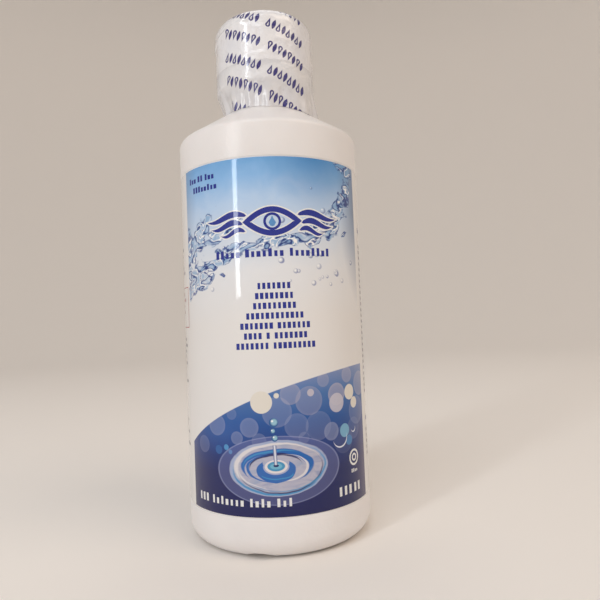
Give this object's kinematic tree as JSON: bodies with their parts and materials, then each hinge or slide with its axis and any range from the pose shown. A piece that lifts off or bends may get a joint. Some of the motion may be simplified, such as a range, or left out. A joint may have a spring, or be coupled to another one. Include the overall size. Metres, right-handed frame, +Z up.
{
  "type": "contact lens solution bottle",
  "caption": "Round white bottle of contact lens solution with a wrap label, a dropper nozzle, a screwed flip-top closure and a printed shrink film seal over it.",
  "frame": {"origin": "on the bottle's axis, in the plane of the standing ring under the base", "axes": "+Z up along the bottle's axis; the label's front faces -Y; the lid's hinge is at the back, +Y; +X is to the right seen from the front"},
  "size_m": [0.047, 0.047, 0.1333],
  "materials": {
    "bottle": "satin white polyethylene, slightly translucent",
    "solution_fill": null,
    "wrap_label": "glossy printed film label, white turning to sky blue and navy",
    "nozzle_insert": "natural polyethylene, milky",
    "seal_washer": "white foamed polyethylene",
    "closure_collar": "glossy white polypropylene",
    "hinge_strap_lower": "glossy white polypropylene",
    "flip_lid": "glossy white polypropylene",
    "hinge_strap_upper": "glossy white polypropylene",
    "seal_film_band": "clear glossy shrink film with a repeated navy mark",
    "seal_film_skirt": "clear glossy shrink film with a repeated navy mark"
  },
  "bodies": {
    "bottle_body": {"bottle": "bottle", "solution_fill": "solution_fill", "wrap_label": "wrap_label", "nozzle_insert": "nozzle_insert", "seal_film_skirt": "seal_film_skirt"},
    "washer": {"seal_washer": "seal_washer"},
    "collar": {"closure_collar": "closure_collar", "hinge_strap_lower": "hinge_strap_lower"},
    "lid": {"flip_lid": "flip_lid", "hinge_strap_upper": "hinge_strap_upper"},
    "film_band": {"seal_film_band": "seal_film_band"}
  },
  "joints": [
    {"name": "cap_lift", "type": "slide", "parent": "bottle_body", "child": "washer", "axis": [0, 0, 1], "range_m": [0, 0.00953]},
    {"name": "cap_turn", "type": "hinge", "parent": "washer", "child": "collar", "pos_m": [0, 0, 0.1149], "axis": [0, 0, 1], "range_deg": [0, 1080]},
    {"name": "lid_flip", "type": "hinge", "parent": "collar", "child": "lid", "pos_m": [0, 0.01335, 0.11955], "axis": [-1, 0, 0], "range_deg": [0, 150]},
    {"name": "film_tear", "type": "slide", "parent": "lid", "child": "film_band", "axis": [0, 0, 1], "range_m": [0, 0.026]}
  ],
  "couplings": [
    {"joint": "cap_lift", "follows": "cap_turn", "m_per_rad": 0.00050532}
  ]
}
